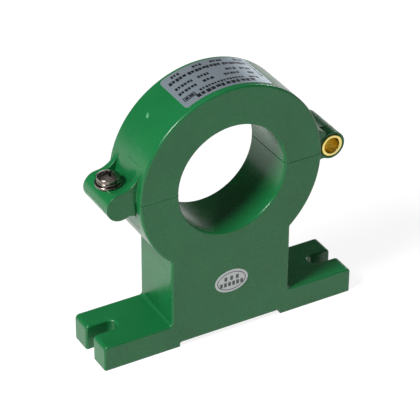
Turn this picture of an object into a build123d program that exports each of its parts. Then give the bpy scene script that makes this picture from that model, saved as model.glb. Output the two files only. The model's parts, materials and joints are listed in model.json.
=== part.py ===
from build123d import *

import os
from math import isclose, sqrt

# Split-core hall effect current sensor: a hinged ring on a foot-mounted neck.
# X runs across the base, Y from the front face to the back and Z up. The origin is on the
# mounting plane, under the middle of the base. Lengths are in millimetres.

# Body
base_length = 97.5
base_height = 9.5
depth = 22.6
neck_width = 46.0
bore_height = 61.4
bore_diameter = 40.5
ring_diameter = 69.2
parting_gap = 0.1
edge_radius = 0.8
corner_radius = 1.0
foot_end_radius = 1.6
bore_lip_radius = 0.7

# Walls of the two moulded shells
front_wall = 2.1
side_wall = 2.1
bore_wall = 1.8
end_wall = 1.4
floor_wall = 2.15

# Back covers, set flush into a ledge
cover_thickness = 2.0
cover_ledge = 0.9
cover_clearance = 0.1

# Feet
slot_width = 5.2
slot_length = 10.2
recess_length = 40.0
recess_height = 1.85
foot_skin = 3.0
foot_wall = 1.5
core_out_rib = 1.8

# Lugs at both sides of the ring, centred on the parting plane
lug_reach = 5.7
lug_radius = 5.0
lug_setback = 2.7
upper_blend = 8.8
lower_blend = 3.0

# Clamp lug: the upper half's cheeks straddle the lower half's tongue
cheek_thickness = 2.2
cheek_clearance = 0.25
seat_height = 4.5

# Clamp screw with its washers, threaded into an insert
thread_diameter = 4.0
thread_depth = 0.35
screw_hole_clearance = 0.5
screw_tip_clearance = 0.3
head_diameter = 7.8
head_height = 2.5
head_rim_height = 1.2
recess_span = 4.2
recess_width = 0.9
recess_depth = 1.5
flat_washer_diameter = 9.2
flat_washer_thickness = 0.8
spring_washer_diameter = 8.0
spring_washer_thickness = 1.1
spring_washer_gap = 0.7
washer_clearance = 0.2
insert_wall = 1.0
insert_cover = 1.1

# Hinge
knuckle_length = 4.5
knuckle_clearance = 0.25
knuckle_wall = 1.0
bush_wall = 1.1
bush_overhang = 0.3
bush_running_clearance = 0.05

# Magnetic cores, and the space round them in their channel
core_gap = 0.5
core_front_gap = 2.2
core_pad_thickness = 2.3
core_clearance = 0.15
core_edge_radius = 0.4
core_rib_width = 1.2
core_rib_angles = (25, 65, 115, 155)
core_pad_angles = (40, 90, 140)
core_pad_length = 8.0

# Hall element, standing on the board in the lower core's gap
hall_thickness = 1.6
hall_clearance = 0.3
hall_width = 4.2
hall_body_height = 3.4
hall_lead_spacing = 1.27
hall_lead_count = 3
lead_width = 0.45
lead_hole_clearance = 0.35
lead_stub = 1.4

# Circuit board, lying in rails across the neck
board_thickness = 1.6
board_clearance = 0.1
rail_depth = 1.7
rail_height = 1.4

# Terminal header in the right side of the neck
terminal_count = 4
terminal_spacing = 3.96
header_end_margin = 0.36
header_length = 10.4
header_height = 9.0
header_overhang = 1.2
header_wall = 0.9
socket_depth = 7.4
header_clearance = 0.1
pin_width = 1.14
pin_hole_clearance = 0.15
pin_tail_offset = 1.6

# Single-turn trimmers, set through holes in the back cover
trimmer_length = 6.6
trimmer_height = 6.8
trimmer_depth = 5.0
trimmer_edge_gap = 3.5
trimmer_spacing = 9.0
rotor_diameter = 4.0
rotor_clearance = 0.06
rotor_thickness = 1.2
rotor_slot_width = 0.7
rotor_slot_depth = 0.6
access_diameter = 3.2

# Other parts on the board
amplifier_y = -4.2
amplifier_length = 8.6
amplifier_width = 3.9
amplifier_height = 1.5
amplifier_lead_count = 8
amplifier_lead_spacing = 1.9
regulator_offset = -0.05
regulator_y = 4.4
regulator_length = 6.5
regulator_width = 3.5
regulator_height = 1.6
capacitor_diameter = 6.3
capacitor_height = 7.7
capacitor_gap = 0.9
capacitor_floor_gap = 3.3
chip_length = 3.2
chip_width = 1.6
chip_height = 0.6

# Labels
label_thickness = 0.12
label_margin = 1.8
label_chord = 32.4
label_corner = 1.5
label_offset = 0.3
sticker_length = 12.8
sticker_height = 8.8
sticker_level = 20.8
sticker_thickness = 0.1

# Places that follow from the sizes above
bore_radius = bore_diameter / 2
ring_radius = ring_diameter / 2
front = -depth / 2
back = depth / 2
inside_front = front + front_wall
inside_back = back - cover_thickness
lower_parting = bore_height - parting_gap / 2
upper_parting = bore_height + parting_gap / 2
channel_radius = ring_radius - side_wall
liner_radius = bore_radius + bore_wall
room_width = neck_width - 2 * side_wall
room_floor = recess_height + floor_wall
lug_offset = ring_radius + lug_reach
lug_front = front + lug_setback
lug_back = back - lug_setback
lug_length = lug_back - lug_front
lug_seat = bore_height + seat_height
clamp_x = -lug_offset
hinge_x = lug_offset
head_seat = lug_seat + flat_washer_thickness + spring_washer_thickness
insert_length = lug_radius - insert_cover
insert_diameter = thread_diameter + 2 * insert_wall
screw_core_diameter = thread_diameter - 2 * thread_depth
screw_length = head_seat - lower_parting + insert_length - screw_tip_clearance
washer_bore_diameter = thread_diameter + washer_clearance
bush_diameter = 2 * (lug_radius - knuckle_wall)
core_inner_radius = liner_radius + core_gap
core_outer_radius = channel_radius - core_gap
core_width = core_outer_radius - core_inner_radius
core_middle_radius = (core_outer_radius + core_inner_radius) / 2
core_front = inside_front + core_front_gap
core_back = inside_back - core_pad_thickness
core_depth = core_back - core_front
core_y = (core_front + core_back) / 2
board_width = room_width - 2 * board_clearance
board_depth = inside_back - inside_front - 2 * board_clearance
board_level = room_floor + capacitor_floor_gap + capacitor_height
board_top = board_level + board_thickness
header_width = terminal_count * terminal_spacing + header_end_margin
header_front = neck_width / 2 + header_overhang
header_rear = header_front - header_length
header_level = board_top + header_height / 2
pin_tail_x = header_rear - pin_tail_offset
trimmer_level = board_top + trimmer_height / 2
trimmer_back = inside_back - board_clearance
zero_trimmer_x = (trimmer_length - board_width) / 2 + trimmer_edge_gap
amplifier_x = zero_trimmer_x + trimmer_spacing / 2
trimmers_right = zero_trimmer_x + trimmer_spacing + trimmer_length / 2
regulator_x = (trimmers_right + pin_tail_x) / 2 + regulator_offset

BOTTOM = (Align.CENTER, Align.MIN)


def front_plane(y):
    """Plane parallel to the front face: sketches on it run along X and Z, extrudes go forward."""
    return Plane.XZ.offset(-y)


def lug_outline(side):
    """Lug seen from the front, with the arcs that blend it into the ring's wall."""
    ring_center = Vector(0, bore_height)
    lug_center = Vector(side * lug_offset, bore_height)
    arcs = []
    for above, blend in ((1, upper_blend), (-1, lower_blend)):
        reach = ring_radius + blend
        x = (lug_offset**2 + reach**2 - (lug_radius + blend) ** 2) / (2 * lug_offset)
        center = Vector(side * x, bore_height + above * sqrt(reach**2 - x**2))
        on_ring = center + (ring_center - center).normalized() * blend
        on_lug = center + (lug_center - center).normalized() * blend
        middle = center + ((on_ring + on_lug) * 0.5 - center).normalized() * blend
        arcs.append((on_ring, middle, on_lug))
    (top_ring, top_middle, top_lug), (low_ring, low_middle, low_lug) = arcs
    with BuildSketch() as outline:
        with BuildLine():
            ThreePointArc(top_ring, top_middle, top_lug)
            ThreePointArc(top_lug, lug_center + Vector(side * lug_radius, 0), low_lug)
            ThreePointArc(low_lug, low_middle, low_ring)
            Line(low_ring, top_ring)
        make_face()
    return outline.sketch


def lug_part(side, low, high):
    """The lug's outline between two levels."""
    with BuildSketch() as part:
        add(lug_outline(side))
        with Locations((side * lug_offset, low)):
            Rectangle(2 * ring_radius, high - low, align=BOTTOM, mode=Mode.INTERSECT)
    return part.sketch


def lower_room(grow):
    """Core channel and neck room of the lower half, widened all round by grow."""
    with BuildSketch() as room:
        with Locations((0, bore_height)):
            Circle(channel_radius + grow)
        with Locations((0, room_floor - grow)):
            Rectangle(room_width + 2 * grow, bore_height - room_floor, align=BOTTOM)
        with Locations((0, bore_height)):
            Circle(liner_radius - grow, mode=Mode.SUBTRACT)
        with Locations((0, bore_height - end_wall + grow)):
            Rectangle(ring_diameter, ring_diameter, align=BOTTOM, mode=Mode.SUBTRACT)
    return room.sketch


def upper_room(grow):
    """Core channel of the upper half, widened all round by grow."""
    with BuildSketch() as room:
        with Locations((0, bore_height)):
            Circle(channel_radius + grow)
            Circle(liner_radius - grow, mode=Mode.SUBTRACT)
        with Locations((0, bore_height + end_wall - grow)):
            Rectangle(
                ring_diameter, ring_diameter, align=(Align.CENTER, Align.MAX), mode=Mode.SUBTRACT
            )
    return room.sketch


def pole_windows():
    """Openings in the parting face that the two ends of a core come through."""
    with BuildSketch() as windows:
        with Locations((-core_middle_radius, core_y), (core_middle_radius, core_y)):
            Rectangle(core_width + 2 * core_clearance, core_depth + 2 * core_clearance)
    return windows.sketch


def core_ribs(angles):
    """Ribs from the channel's outer wall that the core rests against."""
    rib_start = core_outer_radius
    rib_end = channel_radius + side_wall / 2
    with BuildSketch() as ribs:
        for angle in angles:
            with PolarLocations((rib_start + rib_end) / 2, 1, start_angle=angle):
                Rectangle(rib_end - rib_start, core_rib_width)
    return ribs.sketch


def core_stops(angles):
    """Blocks on the front wall that the core's front face rests on."""
    with BuildSketch() as stops:
        for angle in angles:
            with PolarLocations(core_middle_radius, 1, start_angle=angle):
                Rectangle(core_width, core_rib_width)
    return stops.sketch


def core_pads(angles):
    """Foam pads between a core's back face and its cover."""
    with BuildSketch() as pads:
        for angle in angles:
            with PolarLocations(core_middle_radius, 1, start_angle=angle):
                Rectangle(core_width - 2 * core_clearance, core_pad_length)
    return pads.sketch


# Lower half of the shell: half of the ring, the neck and the two feet
with BuildPart() as lower_housing:
    with BuildSketch(Plane.XZ):
        with Locations((0, bore_height)):
            Circle(ring_radius)
        Rectangle(neck_width, bore_height, align=BOTTOM)
        Rectangle(base_length, base_height, align=BOTTOM)
        Rectangle(recess_length, recess_height, align=BOTTOM, mode=Mode.SUBTRACT)
    extrude(amount=depth / 2, both=True)
    corners = lower_housing.edges().filter_by(Axis.Y)
    fillet(
        corners.filter_by(lambda edge: isclose(abs(edge.center().X), neck_width / 2)),
        corner_radius,
    )
    fillet(
        corners.filter_by(
            lambda edge: isclose(abs(edge.center().X), recess_length / 2)
            and isclose(edge.center().Z, recess_height)
        ),
        edge_radius,
    )
    fillet(
        lower_housing.edges().filter_by(Axis.Y).filter_by(
            lambda edge: isclose(abs(edge.center().X), base_length / 2)
            and isclose(edge.center().Z, base_height)
        ),
        foot_end_radius,
    )
    with BuildSketch():
        with Locations((-base_length / 2, 0), (base_length / 2, 0)):
            SlotOverall(2 * slot_length, slot_width)
    extrude(amount=base_height, mode=Mode.SUBTRACT)
    slot_mouths = lower_housing.edges().filter_by(Axis.Z).filter_by(
        lambda edge: isclose(abs(edge.center().Y), slot_width / 2)
        and isclose(abs(edge.center().X), base_length / 2)
    )
    fillet(slot_mouths, edge_radius)
    face_edges = lower_housing.faces().filter_by(Axis.Y).filter_by(
        lambda face: isclose(abs(face.center().Y), depth / 2)
    ).edges()
    foot_edges = lower_housing.edges().filter_by(
        lambda edge: isclose(edge.bounding_box().min.Z, base_height)
        and abs(edge.center().Y) < depth / 2 - edge_radius
        and abs(edge.center().X) > neck_width / 2 + corner_radius
    )
    fillet(
        (face_edges + foot_edges).filter_by(
            lambda edge: edge.center().Z > recess_height + edge_radius
        ),
        edge_radius,
    )

    # Bore for the cable, then the half above the parting plane comes off
    with BuildSketch(Plane.XZ):
        with Locations((0, bore_height)):
            Circle(bore_radius)
    extrude(amount=depth / 2, both=True, mode=Mode.SUBTRACT)
    lips = lower_housing.edges().filter_by(GeomType.CIRCLE)
    fillet(lips.filter_by(lambda edge: isclose(edge.radius, bore_radius)), bore_lip_radius)
    split(bisect_by=Plane.XY.offset(lower_parting), keep=Keep.BOTTOM)

    # Room for the cores and the board, with the cover's ledge around its mouth
    with BuildSketch(front_plane(back)):
        add(lower_room(0))
    extrude(amount=depth - front_wall, mode=Mode.SUBTRACT)
    with BuildSketch(front_plane(back)):
        add(lower_room(cover_ledge))
    extrude(amount=cover_thickness, mode=Mode.SUBTRACT)
    with BuildSketch(Plane.XY.offset(lower_parting)):
        add(pole_windows())
    extrude(amount=-2 * end_wall, mode=Mode.SUBTRACT)

    # Seats of the lower cores
    lower_rib_angles = [-angle for angle in core_rib_angles]
    with BuildSketch(front_plane(core_back)):
        with Locations((0, bore_height)):
            add(core_ribs(lower_rib_angles))
        with Locations((0, bore_height)):
            Circle(core_outer_radius, mode=Mode.SUBTRACT)
    extrude(amount=core_back - inside_front)
    with BuildSketch(front_plane(core_front)):
        with Locations((0, bore_height)):
            add(core_stops(lower_rib_angles))
    extrude(amount=core_front_gap)

    # Rails that hold the board's two ends
    rail_x = (room_width - rail_depth) / 2
    rail_low = board_level - board_clearance - rail_height
    rail_high = board_top + board_clearance
    with BuildSketch(front_plane(inside_back)):
        with Locations((-rail_x, rail_low), (rail_x, rail_low), (-rail_x, rail_high)):
            Rectangle(rail_depth, rail_height, align=BOTTOM)
    extrude(amount=inside_back - inside_front)

    # Window for the terminal header
    with BuildSketch(Plane.YZ.offset(neck_width / 2)):
        with Locations((0, header_level)):
            Rectangle(header_width + 2 * header_clearance, header_height + 2 * header_clearance)
    extrude(amount=-2 * side_wall, mode=Mode.SUBTRACT)

    # Feet cored out from below, so that the walls stay even
    core_out_start = neck_width / 2 + foot_wall
    core_out_end = base_length / 2 - slot_length - foot_wall
    core_out_x = (core_out_start + core_out_end) / 2
    core_out_length = (core_out_end - core_out_start - core_out_rib) / 2
    core_out_width = (depth - 2 * side_wall - core_out_rib) / 2
    with BuildSketch():
        with Locations((-core_out_x, 0), (core_out_x, 0)):
            with GridLocations(
                core_out_length + core_out_rib, core_out_width + core_out_rib, 2, 2
            ):
                RectangleRounded(core_out_length, core_out_width, corner_radius)
    extrude(amount=base_height - foot_skin, mode=Mode.SUBTRACT)

    # Tongue of the clamp lug, with the insert's pocket
    tongue_half = lug_length / 2 - cheek_thickness - cheek_clearance
    with BuildSketch(front_plane(tongue_half)):
        add(lug_part(-1, bore_height - 2 * lug_radius, lower_parting))
    extrude(amount=2 * tongue_half)
    with BuildSketch(Plane.XY.offset(lower_parting)):
        with Locations((clamp_x, 0)):
            Circle(insert_diameter / 2)
    extrude(amount=-insert_length, mode=Mode.SUBTRACT)

    # Outer pair of hinge knuckles, with a press fit for the bush
    for knuckle_back in (lug_back, lug_front + knuckle_length):
        with BuildSketch(front_plane(knuckle_back)):
            add(lug_part(1, bore_height - 2 * lug_radius, lower_parting))
            with Locations((hinge_x, bore_height)):
                Circle(lug_radius)
        extrude(amount=knuckle_length)
    with BuildSketch(Plane.XZ):
        with Locations((hinge_x, bore_height)):
            Circle(bush_diameter / 2)
    extrude(amount=depth / 2, both=True, mode=Mode.SUBTRACT)
    bush_mouths = lower_housing.faces().filter_by(Axis.Y).filter_by(
        lambda face: isclose(abs(face.center().Y), lug_back)
    )
    chamfer(
        bush_mouths.edges().filter_by(GeomType.CIRCLE).filter_by(
            lambda edge: isclose(edge.radius, bush_diameter / 2)
        ),
        knuckle_wall / 2,
    )

# Upper half of the shell: half of the ring with the clamp lug and the middle knuckle
with BuildPart() as upper_housing:
    with BuildSketch(Plane.XZ):
        with Locations((0, bore_height)):
            Circle(ring_radius)
    extrude(amount=depth / 2, both=True)
    fillet(upper_housing.edges().filter_by(GeomType.CIRCLE), edge_radius)
    with BuildSketch(Plane.XZ):
        with Locations((0, bore_height)):
            Circle(bore_radius)
    extrude(amount=depth / 2, both=True, mode=Mode.SUBTRACT)
    lips = upper_housing.edges().filter_by(GeomType.CIRCLE)
    fillet(lips.filter_by(lambda edge: isclose(edge.radius, bore_radius)), bore_lip_radius)
    split(bisect_by=Plane.XY.offset(upper_parting), keep=Keep.TOP)

    with BuildSketch(front_plane(back)):
        add(upper_room(0))
    extrude(amount=depth - front_wall, mode=Mode.SUBTRACT)
    with BuildSketch(front_plane(back)):
        add(upper_room(cover_ledge))
    extrude(amount=cover_thickness, mode=Mode.SUBTRACT)
    with BuildSketch(Plane.XY.offset(upper_parting)):
        add(pole_windows())
    extrude(amount=2 * end_wall, mode=Mode.SUBTRACT)

    # Seats of the upper core
    with BuildSketch(front_plane(core_back)):
        with Locations((0, bore_height)):
            add(core_ribs(core_rib_angles))
        with Locations((0, bore_height)):
            Circle(core_outer_radius, mode=Mode.SUBTRACT)
    extrude(amount=core_back - inside_front)
    with BuildSketch(front_plane(core_front)):
        with Locations((0, bore_height)):
            add(core_stops(core_rib_angles))
    extrude(amount=core_front_gap)

    # Cheeks beside the tongue. Below the parting plane their inner edge is an arc about the
    # hinge, so it swings past the lower half's wall at a constant distance.
    cheek_arc_radius = lug_offset + ring_radius + cheek_clearance
    for cheek_back in (lug_back, lug_front + cheek_thickness):
        with BuildSketch(front_plane(cheek_back)):
            add(lug_outline(-1))
            with Locations((hinge_x, bore_height)):
                Circle(cheek_arc_radius, mode=Mode.SUBTRACT)
            add(lug_part(-1, upper_parting, bore_height + ring_radius))
        extrude(amount=cheek_thickness)

    # Floor between the cheeks that the washers sit on
    with BuildSketch(front_plane(lug_back)):
        add(lug_part(-1, upper_parting, lug_seat))
    extrude(amount=lug_length)
    with BuildSketch(Plane.XY.offset(lug_seat)):
        with Locations((clamp_x, 0)):
            Circle((thread_diameter + screw_hole_clearance) / 2)
    extrude(amount=-seat_height, mode=Mode.SUBTRACT)

    # Webs of the hinge: full in the middle, hollowed round the outer knuckles
    with BuildSketch(front_plane(lug_back)):
        add(lug_part(1, upper_parting, bore_height + ring_radius))
        with Locations((hinge_x, bore_height)):
            Circle(lug_radius + knuckle_clearance, mode=Mode.SUBTRACT)
        with Locations((hinge_x - lug_radius / 2, bore_height)):
            Rectangle(
                2 * lug_radius,
                2 * ring_radius,
                align=(Align.MIN, Align.CENTER),
                mode=Mode.SUBTRACT,
            )
    extrude(amount=lug_length)
    middle_half = lug_length / 2 - knuckle_length - knuckle_clearance
    with BuildSketch(front_plane(middle_half)):
        add(lug_part(1, upper_parting, bore_height + ring_radius))
        with Locations((hinge_x, bore_height)):
            Circle(lug_radius)
    extrude(amount=2 * middle_half)
    with BuildSketch(Plane.XZ):
        with Locations((hinge_x, bore_height)):
            Circle(bush_diameter / 2 + bush_running_clearance)
    extrude(amount=depth / 2, both=True, mode=Mode.SUBTRACT)

# Back covers
with BuildPart() as lower_back_cover:
    with BuildSketch(front_plane(back)):
        add(lower_room(cover_ledge - cover_clearance))
    extrude(amount=cover_thickness)
    with BuildSketch(front_plane(back)):
        with Locations((amplifier_x, trimmer_level)):
            with GridLocations(trimmer_spacing, 1, 2, 1):
                Circle(access_diameter / 2)
    extrude(amount=cover_thickness, mode=Mode.SUBTRACT)

with BuildPart() as upper_back_cover:
    with BuildSketch(front_plane(back)):
        add(upper_room(cover_ledge - cover_clearance))
    extrude(amount=cover_thickness)

# Cores: the lower half ring is cut in two by the gap that the hall element stands in
with BuildPart() as upper_core:
    with BuildSketch(front_plane(core_back)):
        with Locations((0, bore_height)):
            Circle(core_outer_radius)
            Circle(core_inner_radius, mode=Mode.SUBTRACT)
    extrude(amount=core_depth)
    fillet(upper_core.edges().filter_by(GeomType.CIRCLE), core_edge_radius)
    split(bisect_by=Plane.XY.offset(upper_parting), keep=Keep.TOP)

with BuildPart() as lower_core_left:
    with BuildSketch(front_plane(core_back)):
        with Locations((0, bore_height)):
            Circle(core_outer_radius)
            Circle(core_inner_radius, mode=Mode.SUBTRACT)
    extrude(amount=core_depth)
    fillet(lower_core_left.edges().filter_by(GeomType.CIRCLE), core_edge_radius)
    split(bisect_by=Plane.XY.offset(lower_parting), keep=Keep.BOTTOM)
    split(bisect_by=Plane.YZ.offset(-hall_thickness / 2 - hall_clearance), keep=Keep.BOTTOM)

with BuildPart() as lower_core_right:
    add(lower_core_left.part)
    mirror(about=Plane.YZ, mode=Mode.REPLACE)

# Foam pads that press the cores forward
with BuildPart() as lower_core_pads:
    with BuildSketch(front_plane(inside_back)):
        with Locations((0, bore_height)):
            add(core_pads([-core_pad_angles[0], -core_pad_angles[-1]]))
    extrude(amount=core_pad_thickness)

with BuildPart() as upper_core_pads:
    with BuildSketch(front_plane(inside_back)):
        with Locations((0, bore_height)):
            add(core_pads(core_pad_angles))
    extrude(amount=core_pad_thickness)

# Hall element and its leads
hall_level = bore_height - core_middle_radius
hall_foot = hall_level - hall_body_height / 2
with BuildPart() as hall_element:
    with BuildSketch(Plane.XY.offset(hall_foot)):
        Rectangle(hall_thickness, hall_width)
    extrude(amount=hall_body_height)
    chamfer(hall_element.edges().filter_by(Axis.Z), hall_thickness / 5)

with BuildPart() as hall_leads:
    with BuildSketch(Plane.XY.offset(board_level - lead_stub)):
        with GridLocations(1, hall_lead_spacing, 1, hall_lead_count):
            Rectangle(lead_width, lead_width)
    extrude(amount=hall_foot - board_level + lead_stub)

# Circuit board, with holes for everything that is soldered through it
pin_hole_diameter = sqrt(2) * pin_width + 2 * pin_hole_clearance
with BuildPart() as circuit_board:
    with BuildSketch(Plane.XY.offset(board_level)):
        with Locations((0, (inside_front + inside_back) / 2)):
            Rectangle(board_width, board_depth)
        with GridLocations(1, hall_lead_spacing, 1, hall_lead_count):
            Circle((lead_width + lead_hole_clearance) / 2, mode=Mode.SUBTRACT)
        with Locations((pin_tail_x, 0)):
            with GridLocations(1, terminal_spacing, 1, terminal_count):
                Circle(pin_hole_diameter / 2, mode=Mode.SUBTRACT)
    extrude(amount=board_thickness)

# Terminal header: a box open to the right, with the pins through its rear wall
with BuildPart() as terminal_header:
    with BuildSketch(Plane.YZ.offset(header_rear)):
        with Locations((0, header_level)):
            Rectangle(header_width, header_height)
    extrude(amount=header_length)
    with BuildSketch(Plane.YZ.offset(header_front)):
        with Locations((0, header_level)):
            Rectangle(header_width - 2 * header_wall, header_height - 2 * header_wall)
    extrude(amount=-socket_depth, mode=Mode.SUBTRACT)
    with BuildSketch(Plane.YZ.offset(header_rear)):
        with Locations((0, header_level)):
            with GridLocations(terminal_spacing, 1, terminal_count, 1):
                Rectangle(pin_width, pin_width)
    extrude(amount=header_length, mode=Mode.SUBTRACT)

with BuildPart() as terminal_pins:
    with BuildSketch(Plane.YZ.offset(pin_tail_x - pin_width / 2)):
        with Locations((0, header_level)):
            with GridLocations(terminal_spacing, 1, terminal_count, 1):
                Rectangle(pin_width, pin_width)
    extrude(amount=header_front - pin_tail_x - header_wall)
    with BuildSketch(Plane.XY.offset(board_level - lead_stub)):
        with Locations((pin_tail_x, 0)):
            with GridLocations(1, terminal_spacing, 1, terminal_count):
                Rectangle(pin_width, pin_width)
    extrude(amount=header_level - board_level + lead_stub)

# Trimmers: a block with a round seat at the back, and the slotted rotor that turns in it
with BuildPart() as zero_trimmer:
    with BuildSketch(Plane.XY.offset(board_top)):
        with Locations((zero_trimmer_x, trimmer_back - trimmer_depth / 2)):
            Rectangle(trimmer_length, trimmer_depth)
    extrude(amount=trimmer_height)
    with BuildSketch(front_plane(trimmer_back)):
        with Locations((zero_trimmer_x, trimmer_level)):
            Circle(rotor_diameter / 2 + rotor_clearance)
    extrude(amount=rotor_thickness + rotor_clearance, mode=Mode.SUBTRACT)

with BuildPart() as zero_rotor:
    with BuildSketch(front_plane(trimmer_back)):
        with Locations((zero_trimmer_x, trimmer_level)):
            Circle(rotor_diameter / 2)
    extrude(amount=rotor_thickness)
    with BuildSketch(front_plane(trimmer_back)):
        with Locations((zero_trimmer_x, trimmer_level)):
            Rectangle(rotor_slot_width, rotor_diameter)
    extrude(amount=rotor_slot_depth, mode=Mode.SUBTRACT)

with BuildPart() as span_trimmer:
    with Locations((trimmer_spacing, 0, 0)):
        add(zero_trimmer.part)

with BuildPart() as span_rotor:
    with Locations((trimmer_spacing, 0, 0)):
        add(zero_rotor.part)

# Amplifier with its gull-wing leads
with BuildPart() as amplifier_chip:
    with BuildSketch(Plane.XY.offset(board_top)):
        with Locations((amplifier_x, amplifier_y)):
            Rectangle(amplifier_length, amplifier_width)
    extrude(amount=amplifier_height)
    chamfer(amplifier_chip.faces().sort_by(Axis.Z)[-1].edges(), amplifier_height / 6)
    with BuildSketch(Plane.XY.offset(board_top)):
        with Locations((amplifier_x, amplifier_y)):
            with GridLocations(amplifier_lead_spacing, 1, amplifier_lead_count // 2, 1):
                Rectangle(lead_width, amplifier_width + 2 * lead_stub)
    extrude(amount=lead_width)

# Voltage regulator with its tab and three leads
with BuildPart() as voltage_regulator:
    with BuildSketch(Plane.XY.offset(board_top)):
        with Locations((regulator_x, regulator_y)):
            Rectangle(regulator_length, regulator_width)
    extrude(amount=regulator_height)
    chamfer(voltage_regulator.faces().sort_by(Axis.Z)[-1].edges(), regulator_height / 6)
    with BuildSketch(Plane.XY.offset(board_top)):
        with Locations((regulator_x, regulator_y - regulator_width / 2)):
            with GridLocations(regulator_length / 3, 1, 3, 1):
                Rectangle(2 * lead_width, 2 * lead_stub)
        with Locations((regulator_x, regulator_y + regulator_width / 2)):
            Rectangle(regulator_length / 2, 2 * lead_stub)
    extrude(amount=lead_width)

# Electrolytic capacitors under the board, with the crimp groove of a rolled can
with BuildPart() as supply_capacitors:
    with BuildSketch(Plane.XY.offset(board_level)):
        with Locations((amplifier_x, 0)):
            with GridLocations(capacitor_diameter + capacitor_gap, 1, 2, 1):
                Circle(capacitor_diameter / 2)
    extrude(amount=-capacitor_height)
    fillet(
        supply_capacitors.edges().filter_by(GeomType.CIRCLE).group_by(Axis.Z)[0],
        capacitor_diameter / 10,
    )

# Chip resistors on both faces of the board
with BuildPart() as chip_resistors:
    with BuildSketch(Plane.XY.offset(board_top)):
        with Locations((amplifier_x, amplifier_y + amplifier_width + chip_width)):
            with GridLocations(2 * chip_length, 1, 2, 1):
                Rectangle(chip_length, chip_width)
        with Locations((regulator_x, amplifier_y)):
            with GridLocations(1, 2 * chip_width, 1, 2):
                Rectangle(chip_length, chip_width)
    extrude(amount=chip_height)
    with BuildSketch(Plane.XY.offset(board_level)):
        with Locations((regulator_x, 0)):
            with GridLocations(1.5 * chip_length, 4 * chip_width, 2, 2):
                Rectangle(chip_length, chip_width)
    extrude(amount=-chip_height)

# Clamp screw: a pan head with a cross recess, and the thread's core as its shank
with BuildPart() as clamp_screw:
    with BuildSketch(Plane.XZ.shift_origin((clamp_x, 0, head_seat))):
        with BuildLine():
            Polyline(
                (0, head_height),
                (0, -screw_length),
                (screw_core_diameter / 2, -screw_length),
                (screw_core_diameter / 2, 0),
                (head_diameter / 2, 0),
                (head_diameter / 2, head_rim_height),
            )
            RadiusArc((head_diameter / 2, head_rim_height), (0, head_height), -head_diameter)
        make_face()
    revolve(axis=Axis((clamp_x, 0, 0), (0, 0, 1)))
    chamfer(
        clamp_screw.edges().filter_by(GeomType.CIRCLE).group_by(Axis.Z)[0],
        screw_core_diameter / 6,
    )
    with BuildSketch(Plane.XY.offset(head_seat + head_height)):
        with Locations((clamp_x, 0)):
            Rectangle(recess_span, recess_width)
            Rectangle(recess_width, recess_span)
    extrude(amount=-recess_depth, taper=12, mode=Mode.SUBTRACT)

# Washers
with BuildPart() as flat_washer:
    with BuildSketch(Plane.XY.offset(lug_seat)):
        with Locations((clamp_x, 0)):
            Circle(flat_washer_diameter / 2)
            Circle(washer_bore_diameter / 2, mode=Mode.SUBTRACT)
    extrude(amount=flat_washer_thickness)

with BuildPart() as spring_washer:
    with BuildSketch(Plane.XY.offset(lug_seat + flat_washer_thickness)):
        with Locations((clamp_x, 0)):
            Circle(spring_washer_diameter / 2)
            Circle(washer_bore_diameter / 2, mode=Mode.SUBTRACT)
    extrude(amount=spring_washer_thickness)
    slot_plane = front_plane(0).shift_origin((clamp_x, 0, head_seat - spring_washer_thickness / 2))
    with BuildSketch(slot_plane):
        with Locations(Location((0, 0), 30)):
            Rectangle(spring_washer_gap, 3 * spring_washer_thickness)
    extrude(amount=spring_washer_diameter, mode=Mode.SUBTRACT)

# Threaded insert in the tongue
with BuildPart() as clamp_insert:
    with BuildSketch(Plane.XY.offset(lower_parting)):
        with Locations((clamp_x, 0)):
            Circle(insert_diameter / 2)
            Circle(thread_diameter / 2, mode=Mode.SUBTRACT)
    extrude(amount=-insert_length)

# Hinge bush: a tube through all three knuckles
with BuildPart() as hinge_bush:
    with BuildSketch(Plane.XZ):
        with Locations((hinge_x, bore_height)):
            Circle(bush_diameter / 2)
            Circle(bush_diameter / 2 - bush_wall, mode=Mode.SUBTRACT)
    extrude(amount=lug_length / 2 + bush_overhang, both=True)
    fillet(hinge_bush.edges().filter_by(GeomType.CIRCLE), bush_overhang)

# Rating label, bent over the top of the ring
with BuildPart() as rating_label:
    with BuildSketch(Plane.XY.offset(bore_height)):
        with Locations((0, label_offset)):
            RectangleRounded(label_chord, depth - 2 * label_margin, label_corner)
    extrude(amount=ring_diameter)
    with BuildSketch(Plane.XZ):
        with Locations((0, bore_height)):
            Circle(ring_radius + label_thickness)
            Circle(ring_radius, mode=Mode.SUBTRACT)
    extrude(amount=depth, both=True, mode=Mode.INTERSECT)

# Oval inspection sticker on the front of the neck
with BuildPart() as inspection_sticker:
    with BuildSketch(front_plane(front)):
        with Locations((0, sticker_level)):
            Ellipse(sticker_length / 2, sticker_height / 2)
    extrude(amount=sticker_thickness)

pieces = {
    "lower_housing": lower_housing,
    "upper_housing": upper_housing,
    "lower_back_cover": lower_back_cover,
    "upper_back_cover": upper_back_cover,
    "upper_core": upper_core,
    "lower_core_left": lower_core_left,
    "lower_core_right": lower_core_right,
    "lower_core_pads": lower_core_pads,
    "upper_core_pads": upper_core_pads,
    "hall_element": hall_element,
    "hall_leads": hall_leads,
    "circuit_board": circuit_board,
    "terminal_header": terminal_header,
    "terminal_pins": terminal_pins,
    "zero_trimmer": zero_trimmer,
    "zero_rotor": zero_rotor,
    "span_trimmer": span_trimmer,
    "span_rotor": span_rotor,
    "amplifier_chip": amplifier_chip,
    "voltage_regulator": voltage_regulator,
    "supply_capacitors": supply_capacitors,
    "chip_resistors": chip_resistors,
    "clamp_screw": clamp_screw,
    "flat_washer": flat_washer,
    "spring_washer": spring_washer,
    "clamp_insert": clamp_insert,
    "hinge_bush": hinge_bush,
    "rating_label": rating_label,
    "inspection_sticker": inspection_sticker,
}

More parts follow.
